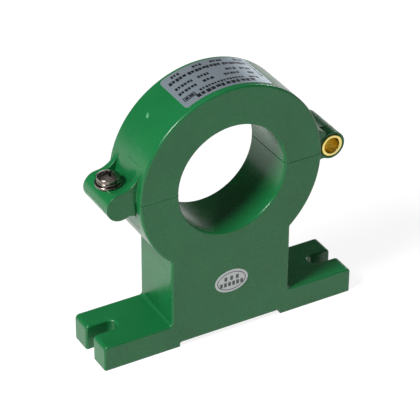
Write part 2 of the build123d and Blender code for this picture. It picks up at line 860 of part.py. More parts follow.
os.makedirs("parts", exist_ok=True)
for name, piece in pieces.items():
    piece.part.label = name
    export_step(piece.part, f"parts/{name}.step")
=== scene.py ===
# %% [markdown]
# A split-core current sensor stands on two slotted feet. Its ring opens on a hinge, so that it
# can be closed round a cable. The solids come packed from the CAD model, in metres, with X to
# the hinge, Y to the back and Z up. This file gives each of them its finish and adds what is
# too fine for the solids: the screw's thread, the cut spring washer, the print, a lip that
# closes the seam, and the marks of the mould.

# %% Load the solids
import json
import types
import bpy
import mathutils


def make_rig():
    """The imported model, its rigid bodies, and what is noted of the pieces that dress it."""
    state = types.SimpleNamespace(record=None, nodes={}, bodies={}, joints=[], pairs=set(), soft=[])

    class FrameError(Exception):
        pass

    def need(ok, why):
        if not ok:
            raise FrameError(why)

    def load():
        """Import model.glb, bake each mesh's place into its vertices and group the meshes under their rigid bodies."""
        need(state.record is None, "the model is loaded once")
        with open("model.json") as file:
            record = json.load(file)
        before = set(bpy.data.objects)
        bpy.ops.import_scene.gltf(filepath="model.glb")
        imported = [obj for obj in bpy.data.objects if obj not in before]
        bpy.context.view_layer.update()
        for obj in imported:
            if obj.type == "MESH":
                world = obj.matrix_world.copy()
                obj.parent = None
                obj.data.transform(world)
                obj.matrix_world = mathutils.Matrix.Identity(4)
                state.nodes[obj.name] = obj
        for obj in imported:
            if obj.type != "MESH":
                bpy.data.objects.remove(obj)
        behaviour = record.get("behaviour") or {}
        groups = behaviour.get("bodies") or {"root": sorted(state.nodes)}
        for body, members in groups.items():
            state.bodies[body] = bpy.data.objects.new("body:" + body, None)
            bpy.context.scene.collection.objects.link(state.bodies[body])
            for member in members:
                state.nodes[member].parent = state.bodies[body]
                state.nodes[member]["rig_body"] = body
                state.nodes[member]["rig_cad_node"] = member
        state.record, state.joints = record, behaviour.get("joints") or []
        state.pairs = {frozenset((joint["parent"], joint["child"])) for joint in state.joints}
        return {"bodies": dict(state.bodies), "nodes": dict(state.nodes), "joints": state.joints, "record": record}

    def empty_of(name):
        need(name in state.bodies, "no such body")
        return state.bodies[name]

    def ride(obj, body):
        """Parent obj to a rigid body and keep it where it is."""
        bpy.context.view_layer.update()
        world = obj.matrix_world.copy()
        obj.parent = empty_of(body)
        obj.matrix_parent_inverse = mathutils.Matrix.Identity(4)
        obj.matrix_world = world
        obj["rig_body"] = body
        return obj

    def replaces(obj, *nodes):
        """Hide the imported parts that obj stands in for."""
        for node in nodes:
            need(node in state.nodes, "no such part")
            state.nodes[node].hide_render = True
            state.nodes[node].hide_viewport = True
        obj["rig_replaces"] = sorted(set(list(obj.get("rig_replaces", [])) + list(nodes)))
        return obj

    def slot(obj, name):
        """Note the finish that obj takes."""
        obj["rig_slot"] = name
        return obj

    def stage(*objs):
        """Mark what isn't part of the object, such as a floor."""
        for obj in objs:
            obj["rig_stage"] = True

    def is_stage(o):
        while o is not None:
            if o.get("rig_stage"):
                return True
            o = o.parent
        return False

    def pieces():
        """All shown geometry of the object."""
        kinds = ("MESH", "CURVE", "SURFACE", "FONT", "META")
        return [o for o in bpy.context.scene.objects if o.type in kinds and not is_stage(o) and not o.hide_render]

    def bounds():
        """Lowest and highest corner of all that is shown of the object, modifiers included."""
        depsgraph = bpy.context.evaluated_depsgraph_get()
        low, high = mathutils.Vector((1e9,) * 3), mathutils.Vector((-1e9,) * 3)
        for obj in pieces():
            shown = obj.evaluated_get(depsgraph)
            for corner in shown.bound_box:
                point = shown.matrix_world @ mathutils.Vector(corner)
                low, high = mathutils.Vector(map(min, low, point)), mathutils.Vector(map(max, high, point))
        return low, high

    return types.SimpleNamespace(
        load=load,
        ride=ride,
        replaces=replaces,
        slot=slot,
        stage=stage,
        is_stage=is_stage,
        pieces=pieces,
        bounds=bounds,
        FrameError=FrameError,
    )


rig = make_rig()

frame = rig.load()

import json
from math import cos, hypot, pi, radians, sin

import bmesh
import bpy
from mathutils import Matrix, Vector

MM = 0.001
cad_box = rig.bounds()
box_in_mm = [[round(c / MM, 1) for c in corner] for corner in cad_box]
print("solids:", len(frame["nodes"]), "box in mm:", box_in_mm)

# %% [markdown]
# A long lens about 0.7 m away keeps the ring's sides nearly parallel, as in a catalogue. The
# camera looks down on the sensor from the front left. Its place is worked out from the point
# that it looks at, two angles and a distance, because those are the numbers that anyone would
# change to frame the sensor again. A small roll then turns the picture about the line of sight.

# %% Camera
AIM = Vector((-2.32, -0.3, 43.91)) * MM
AZIMUTH, ELEVATION, ROLL = radians(-29.72), radians(33.05), radians(0.4)
DISTANCE = 723.99 * MM
# Blender takes both of these in millimetres
LENS, PICTURE_WIDTH = 183.47, 36

back = Vector((sin(AZIMUTH) * cos(ELEVATION), -cos(AZIMUTH) * cos(ELEVATION), sin(ELEVATION)))
level = Vector((cos(AZIMUTH), sin(AZIMUTH), 0))
upright = back.cross(level)
right = level * cos(ROLL) + upright * sin(ROLL)
up = upright * cos(ROLL) - level * sin(ROLL)

camera_data = bpy.data.cameras.new("camera")
camera_data.lens = LENS
camera_data.sensor_width = PICTURE_WIDTH
camera = bpy.data.objects.new("camera", camera_data)
bpy.context.scene.collection.objects.link(camera)
facing = Matrix((right, up, back)).transposed().to_4x4()
camera.matrix_world = Matrix.Translation(AIM + back * DISTANCE) @ facing
bpy.context.scene.camera = camera
bpy.context.scene.view_settings.view_transform = "Standard"
print("camera at", [round(c, 4) for c in camera.matrix_world.translation])

# %% [markdown]
# Colours are easiest to choose as the hex codes that a colour picker shows, but shaders add
# light in linear values. One function turns the first into the second, one adds a node to a
# tree, and one starts a material. Each material below is then a short list of nodes, read from
# the top.

# %% Helpers for nodes
def linear(code):
    """The linear colour of an sRGB hex code such as #0D6535."""
    parts = [int(code[i:i + 2], 16) / 255 for i in (1, 3, 5)]
    return [p / 12.92 if p <= 0.04045 else ((p + 0.055) / 1.055) ** 2.4 for p in parts] + [1]


def add(tree, kind, inputs=(), **settings):
    """Adds a node. An input takes a value, or the socket that feeds it."""
    node = tree.nodes.new("ShaderNode" + kind)
    for name, value in settings.items():
        setattr(node, name, value)
    for name, value in dict(inputs).items():
        if isinstance(value, bpy.types.NodeSocket):
            tree.links.new(value, node.inputs[name])
        else:
            node.inputs[name].default_value = value
    return node


def start_material(name, **inputs):
    """A new material, its tree, its shader and its Object coordinates."""
    material = bpy.data.materials.new(name)
    material.use_nodes = True
    tree = material.node_tree
    shader = tree.nodes["Principled BSDF"]
    for socket, value in inputs.items():
        shader.inputs[socket.replace("_", " ")].default_value = value
    return material, tree, shader, add(tree, "TexCoord").outputs["Object"]

# %% [markdown]
# A finish is hardly ever even. A pattern with a real size, such as the width of a dent or the
# step between two grooves, drives the colour, the roughness or the relief. Noise seldom leaves
# the middle of its range, so colour and roughness run from end to end over that middle.

# %% Helpers for patterns
def per(size):
    """The texture scale at which one feature is `size` millimetres across."""
    return 1 / (size * MM)


def per_band(size):
    """The scale of a Wave texture whose bands repeat every `size` millimetres."""
    radians_per_unit = 20
    return 2 * pi / radians_per_unit * per(size)


def tint(tree, shader, fac, low, high, spread=(0.35, 0.65)):
    """Colours the shader between two hex codes, by a pattern's value."""
    ramp = add(tree, "ValToRGB", {"Fac": fac})
    for stop, place, code in zip(ramp.color_ramp.elements, spread, (low, high)):
        stop.position, stop.color = place, linear(code)
    tree.links.new(ramp.outputs["Color"], shader.inputs["Base Color"])


def vary_roughness(tree, shader, fac, low, high, spread=(0.3, 0.7)):
    """Lets the roughness drift between two values, by a pattern's value."""
    start, end = spread
    drift = add(tree, "MapRange", {
        "Value": fac, "From Min": start, "From Max": end, "To Min": low, "To Max": high})
    tree.links.new(drift.outputs["Result"], shader.inputs["Roughness"])


def bump(tree, shader, height, depth, strength=1.0, edge=0.0):
    """Raises a pattern by `depth` millimetres, over edges rounded by `edge` millimetres."""
    ground = {}
    if edge:
        ground["Normal"] = add(tree, "Bevel", {"Radius": edge * MM}, samples=8).outputs["Normal"]
    relief = add(tree, "Bump", {
        "Height": height, "Strength": strength, "Distance": depth * MM, **ground})
    tree.links.new(relief.outputs["Normal"], shader.inputs["Normal"])

# %% [markdown]
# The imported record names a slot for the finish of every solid. The finished materials are kept
# under the names of their slots.

# %% Store of materials
materials = {}


def keep(material, slot):
    """Keeps a finished material under its slot's name."""
    materials[slot] = material
    print(slot + ":", material.name)

# %% [markdown]
# The two housings are injection-moulded ABS, dyed green and made in a polished mould. The eye
# reads that from clear, slightly soft reflections on a deep colour, from edges that catch the
# light in a thin line, and from a faint waviness where the plastic shrank. The Bevel node
# rounds the shading at each edge by 0.6 mm, which is cheaper than cutting that radius on every
# edge of the lugs.

# %% Moulded green ABS, polished
material, tree, shader, place = start_material("polished_green_abs", Roughness=0.27, IOR=1.45)
flow = add(tree, "TexNoise", {"Vector": place, "Scale": per(16), "Detail": 1}).outputs["Fac"]
tint(tree, shader, flow, "#126635", "#156B39")
haze = add(tree, "TexNoise", {"Vector": place, "Scale": per(5), "Detail": 2}).outputs["Fac"]
vary_roughness(tree, shader, haze, 0.24, 0.31)
# Sink waves a few millimetres long, and far shallower than a hair is thick
waves = add(tree, "TexNoise", {"Vector": place, "Scale": per(4), "Detail": 1}).outputs["Fac"]
bump(tree, shader, waves, 0.006, edge=0.6)
keep(material, "housing_plastic")

# %% [markdown]
# Where the plastic was torn off at the mould's gate, strain has turned it pale and matte, as a bent strip of it goes
# white. Its colour is made paler still as a painted highlight, for the light that the little nub catches. It is the
# same ABS with a fine craze in it.

# %% Strained green ABS, with a painted highlight
material, tree, shader, place = start_material("strained_abs_and_painted_highlight", Roughness=0.5, IOR=1.5)
craze = add(tree, "TexNoise", {"Vector": place, "Scale": per(0.4), "Detail": 2}).outputs["Fac"]
# Both colours are paler than the housing: partly the whitened skin, partly a painted highlight
tint(tree, shader, craze, "#2F8350", "#469562")
bump(tree, shader, craze, 0.02)
keep(material, "torn_plastic_and_painted_highlight")

# %% [markdown]
# The back covers are the same plastic from a mould that was spark-eroded instead of polished.
# Its skin is covered with tiny rounded pits, so the covers' reflections are broader and softer.

# %% Moulded green ABS, spark-eroded
material, tree, shader, place = start_material("eroded_green_abs", Roughness=0.38, IOR=1.5)
flow = add(tree, "TexNoise", {"Vector": place, "Scale": per(14), "Detail": 1}).outputs["Fac"]
tint(tree, shader, flow, "#156030", "#196B38")
# Real pits are 0.05 mm across; these are drawn at 0.25 mm so that they show
pits = add(tree, "TexVoronoi", {"Vector": place, "Scale": per(0.25)},
           feature="SMOOTH_F1").outputs["Distance"]
bump(tree, shader, pits, 0.02, strength=0.7, edge=0.25)
keep(material, "cover_plastic")

# %% [markdown]
# The core is a long strip of silicon steel wound into a ring, set in varnish and cut, with its
# cut faces ground flat. Its sides show the turns of the strip as fine rings round the bore.
# The pattern takes each point's distance from the ring's axis, and a sine of that distance
# gives the edge of every turn.

# %% Wound silicon steel
BORE_HEIGHT = 61.4
STRIP_THICK, RIDGE_SHARE = 0.35, 0.25

material, tree, shader, place = start_material("wound_silicon_steel", Metallic=1.0, Roughness=0.42)
centred = add(tree, "Mapping", {"Vector": place, "Location": (0, 0, -BORE_HEIGHT * MM)})
# Without Y, the length of the vector is the distance from the ring's axis
section = add(tree, "VectorMath", {0: centred.outputs["Vector"], 1: (1, 0, 1)}, operation="MULTIPLY")
radius = add(tree, "VectorMath", {0: section.outputs["Vector"]}, operation="LENGTH").outputs["Value"]
turn = add(tree, "Math", {0: radius, 1: 2 * pi / (STRIP_THICK * MM)}, operation="MULTIPLY")
ridge = add(tree, "Math", {0: turn.outputs["Value"]}, operation="SINE").outputs["Value"]
stain = add(tree, "TexNoise", {"Vector": place, "Scale": per(3), "Detail": 6}).outputs["Fac"]
mixed = add(tree, "Math", {0: ridge, 1: RIDGE_SHARE, 2: stain},
            operation="MULTIPLY_ADD").outputs["Value"]
tint(tree, shader, mixed, "#5A5A5C", "#9A9A9A", spread=(0.25, 0.8))
vary_roughness(tree, shader, stain, 0.3, 0.5)
bump(tree, shader, ridge, 0.03, strength=0.5)
keep(material, "core_steel")

# %% [markdown]
# Strips of closed-cell foam press the cores against the front wall. Foam is all small round
# bubbles, cut open at its skin, so a Voronoi pattern with soft cells stands for them.

# %% Closed-cell foam
material, tree, shader, place = start_material("closed_cell_foam", Roughness=0.95, IOR=1.45)
cells = add(tree, "TexVoronoi", {"Vector": place, "Scale": per(0.4)},
            feature="SMOOTH_F1").outputs["Distance"]
tint(tree, shader, cells, "#1B1B1D", "#38383B", spread=(0.1, 0.7))
bump(tree, shader, cells, 0.1)
keep(material, "foam")

# %% [markdown]
# The circuit board is glass cloth in epoxy, 1.6 mm thick, under a green solder mask. The mask
# is glossy, and the weave of the cloth just shows through as a grid of little cushions.

# %% Glass-epoxy board with solder mask
material, tree, shader, place = start_material("solder_mask", Roughness=0.28, IOR=1.55)
# The cloth has a thread every 0.5 mm both ways, and the board lies level
warp, weft = [add(tree, "TexWave", {"Vector": place, "Scale": per_band(0.5), "Distortion": 0.3},
                  bands_direction=way).outputs["Fac"] for way in "XY"]
cloth = add(tree, "Math", {0: warp, 1: weft}, operation="MULTIPLY").outputs["Value"]
tint(tree, shader, cloth, "#0A3F1C", "#12582A", spread=(0.1, 0.9))
bump(tree, shader, cloth, 0.015)
keep(material, "board_laminate")

# %% [markdown]
# Chips are moulded in black epoxy filled with glass powder. The powder leaves a fine matte
# grain, and the black is really a very dark grey.

# %% Moulded epoxy
material, tree, shader, place = start_material("moulded_epoxy", Roughness=0.6, IOR=1.55)
powder = add(tree, "TexNoise", {"Vector": place, "Scale": per(0.12), "Detail": 2}).outputs["Fac"]
tint(tree, shader, powder, "#202022", "#2E2E30")
bump(tree, shader, powder, 0.01, edge=0.08)
keep(material, "chip_epoxy")

# %% [markdown]
# Pins and leads are plated with tin. It is a bright metal that has gone slightly milky, with a
# fine crystal grain, so its reflections are broad and uneven.

# %% Matte tin plate
material, tree, shader, place = start_material("matte_tin_plate", Metallic=1.0)
grain = add(tree, "TexNoise", {"Vector": place, "Scale": per(0.3), "Detail": 4}).outputs["Fac"]
tint(tree, shader, grain, "#C9C8C4", "#DDDCD8")
vary_roughness(tree, shader, grain, 0.24, 0.4)
bump(tree, shader, grain, 0.004, edge=0.06)
keep(material, "tinned_metal")

# %% [markdown]
# The terminal header is natural nylon, a waxy off-white that lets a little light in. A small
# subsurface share gives the wax, with a radius of under a millimetre.

# %% Natural nylon
material, tree, shader, place = start_material(
    "natural_nylon", Roughness=0.45, IOR=1.53, Subsurface_Weight=0.25, Subsurface_Scale=0.6 * MM)
cloud = add(tree, "TexNoise", {"Vector": place, "Scale": per(2.5), "Detail": 3}).outputs["Fac"]
tint(tree, shader, cloud, "#D9D3C2", "#E4DFD0")
bump(tree, shader, cloud, 0.01, edge=0.15)
keep(material, "header_nylon")

# %% [markdown]
# The two adjusters are blue glass-filled polyester with a white nylon rotor. Glass fibres
# leave short pale streaks in the blue, which a noise stretched along X draws.

# %% Glass-filled polyester and the rotor's nylon
material, tree, shader, place = start_material("glass_filled_polyester", Roughness=0.42, IOR=1.57)
stretch = add(tree, "Mapping", {"Vector": place, "Scale": (0.3, 1, 1)}).outputs["Vector"]
fibres = add(tree, "TexNoise", {"Vector": stretch, "Scale": per(0.25), "Detail": 3}).outputs["Fac"]
tint(tree, shader, fibres, "#1C3F8C", "#2C55A6")
bump(tree, shader, fibres, 0.006, edge=0.1)
keep(material, "trimmer_body")

material, tree, shader, place = start_material("white_nylon", Roughness=0.4, IOR=1.53)
cloud = add(tree, "TexNoise", {"Vector": place, "Scale": per(1.5), "Detail": 3}).outputs["Fac"]
tint(tree, shader, cloud, "#DEDCD4", "#EAE8E1")
bump(tree, shader, cloud, 0.006, edge=0.08)
keep(material, "rotor_nylon")

# %% [markdown]
# The supply capacitors wear a sleeve of dark blue PVC, shrunk on with heat. It is glossy and
# puckers slightly round the can.

# %% Shrunk PVC sleeve
material, tree, shader, place = start_material("shrunk_pvc", Roughness=0.25, IOR=1.53)
puckers = add(tree, "TexNoise", {"Vector": place, "Scale": per(1.2), "Detail": 2}).outputs["Fac"]
tint(tree, shader, puckers, "#101426", "#1A2036")
bump(tree, shader, puckers, 0.03, edge=0.15)
keep(material, "capacitor_sleeve")

# %% [markdown]
# Chip resistors are alumina with a black glaze on top, printed and fired. The glaze is smooth
# with tiny pinholes.

# %% Glazed alumina
material, tree, shader, place = start_material("glazed_alumina", Roughness=0.3, IOR=1.6)
pinholes = add(tree, "TexNoise", {"Vector": place, "Scale": per(0.2), "Detail": 2}).outputs["Fac"]
tint(tree, shader, pinholes, "#18181B", "#29292D")
bump(tree, shader, pinholes, 0.006, edge=0.05)
keep(material, "resistor_ceramic")

# %% [markdown]
# The screw and its washers are cold-formed steel with a nickel plate. Nickel is a warm, dark
# mirror. The tumbling that polishes the parts before plating leaves a fine random relief, so
# the reflections break up a little.

# %% Nickel-plated steel
material, tree, shader, place = start_material("nickel_plated_steel", Metallic=1.0)
dents = add(tree, "TexNoise", {"Vector": place, "Scale": per(0.7), "Detail": 4}).outputs["Fac"]
tint(tree, shader, dents, "#766E68", "#938B83")
vary_roughness(tree, shader, dents, 0.15, 0.26)
bump(tree, shader, dents, 0.004, edge=0.5)
keep(material, "screw_steel")

# %% [markdown]
# The hinge tube and the screw's insert are turned from brass rod. The tool leaves fine grooves
# round the axis. Here they are bands that follow each other along Y, as the tube lies. The
# insert stands upright, but it is nearly hidden in its lug and takes the same bands.

# %% Turned brass
material, tree, shader, place = start_material("turned_brass", Metallic=1.0)
# A finishing cut feeds about 0.1 mm a turn, which is far finer than a pixel, so 0.6 mm is drawn
grooves = add(tree, "TexWave", {
    "Vector": place, "Scale": per_band(0.6), "Distortion": 0.6, "Detail": 1,
}, bands_direction="Y").outputs["Fac"]
film = add(tree, "TexNoise", {"Vector": place, "Scale": per(1.4), "Detail": 4}).outputs["Fac"]
tint(tree, shader, film, "#E9D176", "#F1DF90")
vary_roughness(tree, shader, film, 0.26, 0.36)
bump(tree, shader, grooves, 0.001, edge=0.2)
keep(material, "brass")

# %% [markdown]
# The label is polyester film with aluminium evaporated onto its back, and matte on the outside.
# It looks like metal through thin frost: grey, slightly blue, with a fine grain and no clear
# reflections. Part of its look is metallic and part is the milky face.

# %% Metallised polyester film
material, tree, shader, place = start_material(
    "metallised_polyester", Metallic=0.72, Roughness=0.36, IOR=1.6)
frost = add(tree, "TexNoise", {"Vector": place, "Scale": per(0.25), "Detail": 4}).outputs["Fac"]
tint(tree, shader, frost, "#A9B8C3", "#B6C2CB")
bump(tree, shader, frost, 0.004)
keep(material, "label_film")

# %% [markdown]
# The oval sticker is coated paper. Its coating fills the fibres almost flat, so only a soft
# mottle is left.

# %% Coated paper
material, tree, shader, place = start_material("coated_paper", Roughness=0.5, IOR=1.5)
fibre = add(tree, "TexNoise", {"Vector": place, "Scale": per(0.5), "Detail": 5}).outputs["Fac"]
tint(tree, shader, fibre, "#C6CAC9", "#D3D6D6")
bump(tree, shader, fibre, 0.006)
keep(material, "sticker_paper")

# %% [markdown]
# Print is ink from a ribbon, laid thinly on the label and the sticker. It is nearly black on
# the one and dark grey on the other, a little shiny, and slightly blotchy.

# %% Ribbon inks
material, tree, shader, place = start_material("black_ribbon_ink", Roughness=0.35, IOR=1.5)
grain = add(tree, "TexNoise", {"Vector": place, "Scale": per(0.3), "Detail": 3}).outputs["Fac"]
tint(tree, shader, grain, "#0C0E13", "#1C2028")
keep(material, "label_ink")

material, tree, shader, place = start_material("grey_ribbon_ink", Roughness=0.4, IOR=1.5)
grain = add(tree, "TexNoise", {"Vector": place, "Scale": per(0.3), "Detail": 3}).outputs["Fac"]
tint(tree, shader, grain, "#333A39", "#474E4D")
keep(material, "sticker_ink")

# %% [markdown]
# The record lists every solid's node with its slot, so one short loop dresses all of them.

# %% Dress the solids
slot_of = {part["node"]: part["material_slot"] for part in frame["record"]["subparts"]}
for name, node in frame["nodes"].items():
    node.data.materials.clear()
    node.data.materials.append(materials[slot_of[name]])
print("dressed:", len(slot_of))

# %% [markdown]
# Added pieces are built as a bmesh, in millimetres, and then turned into an object at the
# origin. Their place is in their mesh, as it is for the solids.

# %% Helpers for added pieces
# Lengths under this, in millimetres, count as none
TINY = 1e-5


def finish_piece(shape, name, body, finish, slot=None, smooth=False):
    """Makes an object of a bmesh that was drawn in millimetres, and lets it ride on a body."""
    bmesh.ops.remove_doubles(shape, verts=shape.verts, dist=TINY)
    bmesh.ops.recalc_face_normals(shape, faces=shape.faces)
    bmesh.ops.scale(shape, vec=(MM, MM, MM), verts=shape.verts)
    for face in shape.faces:
        face.smooth = smooth
    mesh = bpy.data.meshes.new(name)
    open_edges = sum(not edge.is_manifold for edge in shape.edges)
    shape.to_mesh(mesh)
    shape.free()
    mesh.materials.append(materials[finish])
    piece = bpy.data.objects.new(name, mesh)
    bpy.context.scene.collection.objects.link(piece)
    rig.ride(piece, body)
    if slot:
        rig.slot(piece, slot)
    print(name, "faces:", len(mesh.polygons), "open edges:", open_edges)
    return piece


def add_block(shape, low, high, cuts=0):
    """Adds a box between two corners, cut across X so that it can bend."""
    box = bmesh.ops.create_cube(shape, size=1)["verts"]
    size = [b - a for a, b in zip(low, high)]
    bmesh.ops.scale(shape, vec=size, verts=box)
    bmesh.ops.translate(shape, vec=[(a + b) / 2 for a, b in zip(low, high)], verts=box)
    if cuts:
        edges = dict.fromkeys(edge for vert in box for edge in vert.link_edges)
        along = [edge for edge in edges
                 if abs(edge.verts[0].co.x - edge.verts[1].co.x) > size[0] / 2]
        bmesh.ops.subdivide_edges(shape, edges=along, cuts=cuts)

# %% [markdown]
# The clamp screw has an M4 thread, which shows when the screw is backed out. A thread is a
# small ridge carried round the shank while it climbs one pitch a turn, and that is what Spin
# does when it is given a step along the axis. Its first and last half turns sink into the
# shank, as a rolled thread runs out.

# %% Thread of the clamp screw
THREAD_RADIUS, CORE_RADIUS, PITCH = 1.98, 1.65, 0.7
CLAMP_X, THREAD_FROM, THREAD_TO = -40.3, 58.1, 66.6
# The ridge is this high to each side of its middle, at its crest and at its sunken root
CREST_HALF, ROOT_HALF, ROOT_SUNK = 0.05, 0.34, 0.1
STEPS_PER_TURN = 28

turns = (THREAD_TO - THREAD_FROM) / PITCH
root = CORE_RADIUS - ROOT_SUNK
profile = ((root, -ROOT_HALF), (THREAD_RADIUS, -CREST_HALF),
           (THREAD_RADIUS, CREST_HALF), (root, ROOT_HALF))
thread = bmesh.new()
ridge = thread.faces.new([thread.verts.new((r, 0, z)) for r, z in profile])
bmesh.ops.spin(thread, geom=[*thread.verts, *thread.edges, ridge], cent=(0, 0, 0), axis=(0, 0, 1),
               dvec=(0, 0, PITCH / STEPS_PER_TURN), angle=2 * pi * turns,
               steps=round(STEPS_PER_TURN * turns), use_duplicate=False)
for vert in thread.verts:
    from_end = min(vert.co.z, THREAD_TO - THREAD_FROM - vert.co.z) / (PITCH / 2)
    reach = hypot(vert.co.x, vert.co.y)
    sink = max(0, reach - CORE_RADIUS) * (1 - max(0, min(1, from_end)))
    vert.co.xy *= (reach - sink) / reach
bmesh.ops.translate(thread, vec=(CLAMP_X, 0, THREAD_FROM), verts=thread.verts)
finish_piece(thread, "clamp_screw_thread", "screw", "screw_steel", "screw_steel", smooth=True)

# %% [markdown]
# The solid under the screw's head stands for a spring washer that is drawn tight. The real one
# is a turn of steel wire with a flattened, rounded section, cut open so that its ends bite. Its
# section is a square stretched to a rectangle, with its corners bevelled. Spin takes it almost
# all the way round, and the faces that it starts and stops with cap the ends.

# %% Spring washer
WASHER_LOW, WASHER_THICK = 66.7, 1.1
WASHER_INNER, WASHER_OUTER = 2.15, 4.0
WASHER_ROUND, CORNER_STEPS, SPIN_STEPS = 0.34, 5, 88
SLIT_AT, SLIT_WIDE = radians(35), radians(9)

middle = (WASHER_OUTER + WASHER_INNER) / 2
coil = bmesh.new()
bmesh.ops.create_grid(coil, x_segments=1, y_segments=1, size=0.5)
bmesh.ops.scale(coil, vec=(WASHER_OUTER - WASHER_INNER, WASHER_THICK, 1), verts=coil.verts)
bmesh.ops.bevel(coil, geom=list(coil.verts), offset=WASHER_ROUND, segments=CORNER_STEPS,
                profile=0.5, affect="VERTICES", material=-1)
bmesh.ops.rotate(coil, verts=coil.verts, cent=(0, 0, 0), matrix=Matrix.Rotation(pi / 2, 3, "X"))
bmesh.ops.translate(coil, verts=coil.verts, vec=(middle, 0, WASHER_THICK / 2))
bmesh.ops.rotate(coil, verts=coil.verts, cent=(0, 0, 0),
                 matrix=Matrix.Rotation(SLIT_AT + SLIT_WIDE / 2, 3, "Z"))
bmesh.ops.spin(coil, geom=[*coil.verts, *coil.edges, *coil.faces], cent=(0, 0, 0), axis=(0, 0, 1),
               angle=2 * pi - SLIT_WIDE, steps=SPIN_STEPS, use_duplicate=False)
bmesh.ops.translate(coil, verts=coil.verts, vec=(CLAMP_X, 0, WASHER_LOW))
coil_washer = finish_piece(coil, "spring_washer_coil", "washers", "screw_steel", "screw_steel",
                           smooth=True)
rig.replaces(coil_washer, "spring_washer")

# %% [markdown]
# The label carries rows of print that run round the ring. Here they are plain bars in the same
# rows and lengths. They are drawn flat, as on a label that isn't stuck on yet: X runs along the
# label, Y across it, and Z is the height over the film. Printed marks aren't all alike, so each
# bar takes the next of a few widths and depths.

# %% Rows of print on the label
LABEL_RADIUS = 34.72
INK_PROUD, INK_SUNK = 0.02, 0.06
# Each row: its two edges along Y, the length of a bar, the gap, and where its groups start and end
ROWS = (
    (-8.1, -6.3, 1.55, 0.35, ((-11.5, 10.4),)),
    (-5.6, -4.4, 0.85, 0.3, ((-9.2, 7.3), (9.5, 13.1))),
    (-2.3, -0.9, 0.95, 0.28, ((-15.4, -8.3), (-6.0, -2.1), (1.9, 7.4), (11.0, 13.7))),
    (0.8, 2.2, 0.95, 0.28, ((-15.0, -8.2), (-6.3, -2.1), (4.2, 7.9), (9.5, 13.7))),
    (4.6, 6.2, 1.15, 0.24, ((-15.2, -8.6), (-7.8, 4.4), (5.1, 14.2))),
    (7.3, 8.6, 0.8, 0.3, ((-13.0, -9.9), (-4.8, -1.5), (1.8, 6.3), (10.8, 14.4))),
)
# Shares of a bar's full width and depth
WIDTHS, DEPTHS = (1.0, 0.84, 1.05, 0.9, 1.1, 0.8, 0.96), (1.0, 0.86, 1.0, 0.93, 0.8)

ink = bmesh.new()
bars = 0
for front, rear, bar, gap, groups in ROWS:
    for start, end in groups:
        count = round((end - start + gap) / (bar + gap))
        pitch = (end - start + gap) / count
        bars += count
        for i in range(count):
            left = start + i * pitch
            width = (pitch - gap) * WIDTHS[i % len(WIDTHS)]
            depth = (rear - front) * DEPTHS[i % len(DEPTHS)]
            add_block(ink, (left, rear - depth, -INK_SUNK), (left + width, rear, INK_PROUD),
                      cuts=2)
print("bars of print:", bars)

# %% [markdown]
# One end of the label has an outlined box with two filled fields, and the other end has an arrow
# for the direction of the current. The short sides of the outline stop a joint short of its long
# ones, so that each stays a closed block. The arrow's head is a cone with three sides and two
# equal radii, which makes a flat triangle.

# %% Box and arrow on the label
# Its left, front, right and rear edges
BOX = (-15.6, -6.3, -11.0, -4.2)
LINE, JOINT = 0.34, 0.01
FIELD_MARGIN_X, FIELD_MARGIN_Y = 0.6, 0.5
FIRST_FIELD, FIELD_GAP = 1.3, 0.3
ARROW_AT, ARROW_FROM, ARROW_TO = 15.7, 7.6, -2.6
SHAFT_HALF, HEAD_RADIUS, HEAD_AHEAD = 0.2, 0.95, 0.3

box_left, box_front, box_right, box_rear = BOX
side_front, side_rear = box_front + LINE + JOINT, box_rear - LINE - JOINT
field_left, field_right = box_left + FIELD_MARGIN_X, box_right - FIELD_MARGIN_X
field_front, field_rear = box_front + FIELD_MARGIN_Y, box_rear - FIELD_MARGIN_Y
split = field_left + FIRST_FIELD
for low, high in (((box_left, box_front), (box_right, box_front + LINE)),
                  ((box_left, box_rear - LINE), (box_right, box_rear)),
                  ((box_left, side_front), (box_left + LINE, side_rear)),
                  ((box_right - LINE, side_front), (box_right, side_rear)),
                  ((field_left, field_front), (split, field_rear)),
                  ((split + FIELD_GAP, field_front), (field_right, field_rear))):
    add_block(ink, (*low, -INK_SUNK), (*high, INK_PROUD), cuts=4)

add_block(ink, (ARROW_AT - SHAFT_HALF, ARROW_TO, -INK_SUNK),
          (ARROW_AT + SHAFT_HALF, ARROW_FROM, INK_PROUD))
head = bmesh.ops.create_cone(ink, cap_ends=True, segments=3, radius1=HEAD_RADIUS,
                             radius2=HEAD_RADIUS, depth=INK_PROUD + INK_SUNK)["verts"]
# Half a turn points its tip to the front
bmesh.ops.rotate(ink, verts=head, cent=(0, 0, 0), matrix=Matrix.Rotation(pi, 3, "Z"))
bmesh.ops.translate(ink, verts=head,
                    vec=(ARROW_AT, ARROW_TO - HEAD_AHEAD, (INK_PROUD - INK_SUNK) / 2))
arrow_length = ARROW_FROM - ARROW_TO + HEAD_AHEAD + HEAD_RADIUS
print("length of the arrow in mm:", round(arrow_length, 2))

# %% [markdown]
# The flat print is bent round the ring as a label is. A length along X becomes an angle, and the
# height over the film becomes a radius. The blocks were cut across X, so that they can bend.

# %% Bend the print round the ring
for vert in ink.verts:
    angle = vert.co.x / LABEL_RADIUS
    radius = LABEL_RADIUS + vert.co.z
    vert.co = (radius * sin(angle), vert.co.y, BORE_HEIGHT + radius * cos(angle))
finish_piece(ink, "label_print", "upper_half", "label_ink")

# %% [markdown]
# The sticker has a thin oval line inside its edge and two rows of small marks. The oval starts
# as a disc that is scaled into an ellipse and inset. Only the rim between the two outlines is
# kept and given a thickness.

# %% Print on the sticker
STICKER_HEIGHT, STICKER_FACE = 20.8, -11.4
OVAL, OVAL_LINE = (5.6, 3.6), 0.3
MARK_THICK, MARK_SUNK = 0.04, 0.02
# Each row: its lower and its upper edge, the width of a mark, the gap and how many marks
MARK_ROWS = ((0.35, 2.0, 1.1, 1.15, 3), (-1.95, -0.3, 1.05, 0.55, 6))

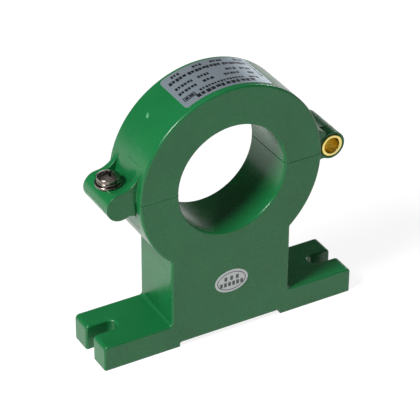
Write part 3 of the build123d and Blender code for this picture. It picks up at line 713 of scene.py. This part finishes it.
marks = bmesh.new()
disc = bmesh.ops.create_circle(marks, cap_ends=True, segments=96, radius=1)["verts"]
bmesh.ops.scale(marks, vec=(*OVAL, 1), verts=disc)
bmesh.ops.inset_region(marks, faces=list(marks.faces), thickness=OVAL_LINE, use_boundary=True)
middle = max(marks.faces, key=lambda face: face.calc_area())
bmesh.ops.delete(marks, geom=[middle], context="FACES")
rim = bmesh.ops.extrude_face_region(marks, geom=list(marks.faces))
raised = [item for item in rim["geom"] if isinstance(item, bmesh.types.BMVert)]
bmesh.ops.translate(marks, vec=(0, 0, MARK_THICK), verts=raised)
for low, high, bar, gap, count in MARK_ROWS:
    start = -(count * bar + (count - 1) * gap) / 2
    for i in range(count):
        left = start + i * (bar + gap)
        add_block(marks, (left, low, 0), (left + bar, high, MARK_THICK))
bmesh.ops.rotate(marks, verts=marks.verts, cent=(0, 0, 0), matrix=Matrix.Rotation(pi / 2, 3, "X"))
bmesh.ops.translate(marks, vec=(0, STICKER_FACE + MARK_SUNK, STICKER_HEIGHT), verts=marks.verts)
finish_piece(marks, "sticker_print", "lower_half", "sticker_ink")

# %% [markdown]
# Moulds leave marks where their parts meet. Two faint lines run across the ring's outer wall,
# above and below the lug, as a mould with side cores leaves them. Each is a thin rounded rib: a
# cylinder that lies along Y, with most of it inside the wall.

# %% Witness lines
RING_RADIUS = 34.6
RIB_RADIUS, RIB_LENGTH, RIB_ROUND = 0.14, 8, 0.1
RIB_AXIS_SUNK, RIB_Y = 0.09, -3.3
# Each line: its angle above the seam, in degrees, and the half that carries it
WITNESS = {"upper_witness_line": (20.8, "upper_half"), "lower_witness_line": (-19.6, "lower_half")}

for name, (tilt, body) in WITNESS.items():
    rib = bmesh.new()
    bmesh.ops.create_cone(rib, cap_ends=True, segments=20, radius1=RIB_RADIUS, radius2=RIB_RADIUS,
                          depth=RIB_LENGTH)
    caps = [edge for edge in rib.edges
            if abs(edge.verts[0].co.z - edge.verts[1].co.z) < TINY]
    bmesh.ops.bevel(rib, geom=caps, offset=RIB_ROUND, segments=3, profile=0.5, affect="EDGES",
                    material=-1)
    bmesh.ops.rotate(rib, verts=rib.verts, cent=(0, 0, 0), matrix=Matrix.Rotation(pi / 2, 3, "X"))
    reach = RING_RADIUS - RIB_AXIS_SUNK
    where = (-reach * cos(radians(tilt)), RIB_Y, BORE_HEIGHT + reach * sin(radians(tilt)))
    bmesh.ops.translate(rib, vec=where, verts=rib.verts)
    finish_piece(rib, name, body, "housing_plastic", "housing_plastic", smooth=True)

# %% [markdown]
# On the front face the two halves meet so closely that their seam hardly shows. The solids keep
# a tenth of a millimetre between them, and here a thin lip on the upper half closes most of it.
# It is nearly flush on the clamp's side, and a little deeper on the hinge's side, where the seam
# is just seen.

# %% Lip along the front seam
FRONT_FACE, LIP_DEEP = -11.3, 1.0
# It runs from the bore to the outer wall, and ends just short of both
LIP_INNER, LIP_OUTER = 20.4, 34.4
# The lip starts inside the upper half and ends just above the lower one
LIP_LOW, LIP_HIGH = BORE_HEIGHT - 0.042, BORE_HEIGHT + 0.15
# How far it stays behind the face, on the clamp's side (-1) and on the hinge's (1)
LIP_BEHIND = {-1: 0.01, 1: 0.06}

lip = bmesh.new()
for side, behind in LIP_BEHIND.items():
    start, end = sorted((side * LIP_INNER, side * LIP_OUTER))
    add_block(lip, (start, FRONT_FACE + behind, LIP_LOW), (end, FRONT_FACE + LIP_DEEP, LIP_HIGH))
finish_piece(lip, "front_seam_lip", "upper_half", "housing_plastic", "housing_plastic")

# %% [markdown]
# Plastic enters a mould through a gate, and breaking off the gate leaves a small nub. Here it is a stretched sphere on
# the ring's outer wall, laid slantwise as a tab gate is, with most of it inside the wall. Its skin is torn and matte,
# and its pale colour is partly strained plastic and partly a painted highlight.

# %% Gate mark
# Its place is an angle round the ring, from the hinge upwards
GATE_AT, GATE_Y, GATE_SLANT = radians(134.7), 2.4, radians(48)
GATE_SIZE, GATE_PROUD = (0.6, 0.75, 1.35), 0.3

nub = bmesh.new()
bmesh.ops.create_uvsphere(nub, u_segments=32, v_segments=16, radius=1)
bmesh.ops.scale(nub, vec=GATE_SIZE, verts=nub.verts)
bmesh.ops.rotate(nub, verts=nub.verts, cent=(0, 0, 0), matrix=Matrix.Rotation(GATE_SLANT, 3, "X"))
bmesh.ops.translate(nub, vec=(RING_RADIUS + GATE_PROUD - GATE_SIZE[0], 0, 0), verts=nub.verts)
bmesh.ops.rotate(nub, verts=nub.verts, cent=(0, 0, 0), matrix=Matrix.Rotation(-GATE_AT, 3, "Y"))
bmesh.ops.translate(nub, vec=(0, GATE_Y, BORE_HEIGHT), verts=nub.verts)
# Its finish paints a highlight into the nub's colour
finish_piece(nub, "gate_mark", "upper_half", "torn_plastic_and_painted_highlight", "housing_plastic", smooth=True)

# %% [markdown]
# A sheet of white paper fills the picture, because the camera looks down on it. Light that
# bounces off it meets plain white paper, which is what fills in the sensor's front. What the
# camera and the reflections see is a grey paper with a glow that lifts it to white, so that a
# lit floor is white and the sensor's shadow is still on it.

# %% Floor
# In metres, from the middle of the sheet to its edges
FLOOR_REACH = 12

sheet = bmesh.new()
bmesh.ops.create_grid(sheet, x_segments=1, y_segments=1, size=FLOOR_REACH)
floor_mesh = bpy.data.meshes.new("floor")
sheet.to_mesh(floor_mesh)
sheet.free()
floor = bpy.data.objects.new("floor", floor_mesh)
bpy.context.scene.collection.objects.link(floor)
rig.stage(floor)
print("floor:", 2 * FLOOR_REACH, "m wide")

# %% [markdown]
# The paper's material mixes the plain sheet and the lifted one by the kind of ray that meets it.
# Light Path gives 1 for a ray of the kind that a socket names, and the largest of three such
# values says whether the camera, a reflection or something clear is looking.

# %% White paper
BOUNCE, SHADE, FLOOR_GLOW = 0.92, 0.2, 0.87

paper = bpy.data.materials.new("white_paper_floor")
paper.use_nodes = True
tree = paper.node_tree
tree.nodes.clear()
path = add(tree, "LightPath")
seen = path.outputs["Is Camera Ray"]
for ray in ("Is Glossy Ray", "Is Transmission Ray"):
    seen = add(tree, "Math", {0: seen, 1: path.outputs[ray]}, operation="MAXIMUM").outputs["Value"]
white = add(tree, "BsdfDiffuse", {"Color": (BOUNCE, BOUNCE, BOUNCE, 1)}).outputs["BSDF"]
grey = add(tree, "BsdfDiffuse", {"Color": (SHADE, SHADE, SHADE, 1)}).outputs["BSDF"]
glow = add(tree, "Emission", {"Color": (1, 1, 1, 1), "Strength": FLOOR_GLOW}).outputs["Emission"]
lifted = add(tree, "AddShader", {0: grey, 1: glow}).outputs["Shader"]
paper_face = add(tree, "MixShader", {0: seen, 1: white, 2: lifted}).outputs["Shader"]
add(tree, "OutputMaterial", {"Surface": paper_face})
floor_mesh.materials.append(paper)
print("material of the floor:", paper.name)

# %% [markdown]
# The studio is a dim room. The world stands for it: its brightness goes by how high a direction
# points, so that the shadows are filled from above and the inside of the bore stays dark.

# %% Room
# Brightness of the room by the sine of the elevation
ROOM = ((0.0, 0.15), (0.15, 0.1), (0.35, 0.06), (0.75, 0.1), (1.0, 0.45))

world = bpy.data.worlds.new("studio")
world.use_nodes = True
bpy.context.scene.world = world
tree = world.node_tree
direction = add(tree, "TexCoord").outputs["Generated"]
height = add(tree, "SeparateXYZ", {"Vector": direction}).outputs["Z"]
walls = add(tree, "ValToRGB", {"Fac": height})
stops = walls.color_ramp.elements
# A new stop starts in the middle, and the second loop puts it in its place
while len(stops) < len(ROOM):
    stops.new(0.5)
for stop, (sine, bright) in zip(stops, ROOM):
    stop.position, stop.color = sine, (bright, bright, bright, 1)
tree.links.new(walls.outputs["Color"], tree.nodes["Background"].inputs["Color"])
print("stops of the room's brightness:", len(stops))

# %% [markdown]
# Two lamps light the sensor. The key lamp stands at the upper left. The rim lamp, about a sixth
# as strong, stands low behind the sensor on the right: it gives the far end of the label its
# sheen and draws thin lines of light along the rim of the bore and the knuckles of the hinge.

# %% Lamps
LAMP_DISTANCE = 0.9
# Each lamp: where it stands as seen from the sensor, its width in metres and its power in watts
LAMPS = {"key": ((-0.67, -0.14, 0.72), 0.25, 9.5), "rim": ((0.78, 0.52, 0.36), 0.16, 1.7)}
for name, (stand, width, power) in LAMPS.items():
    lamp = bpy.data.lights.new(name, "AREA")
    lamp.shape, lamp.size, lamp.energy = "DISK", width, power
    away = Vector(stand).normalized()
    holder = bpy.data.objects.new(name, lamp)
    bpy.context.scene.collection.objects.link(holder)
    turned = away.to_track_quat("Z", "Y").to_matrix().to_4x4()
    holder.matrix_world = Matrix.Translation(AIM + away * LAMP_DISTANCE) @ turned
    print(name, "lamp at", [round(c, 3) for c in holder.matrix_world.translation])

# %% [markdown]
# Last, the size of the dressed sensor is written beside the size of the bare solids. They
# should differ by no more than the print's thickness.

# %% Sizes
json.dump({"cad": [list(corner) for corner in cad_box], "visual": [list(corner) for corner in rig.bounds()]},
          open("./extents.json", "w"))
print(open("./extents.json").read())
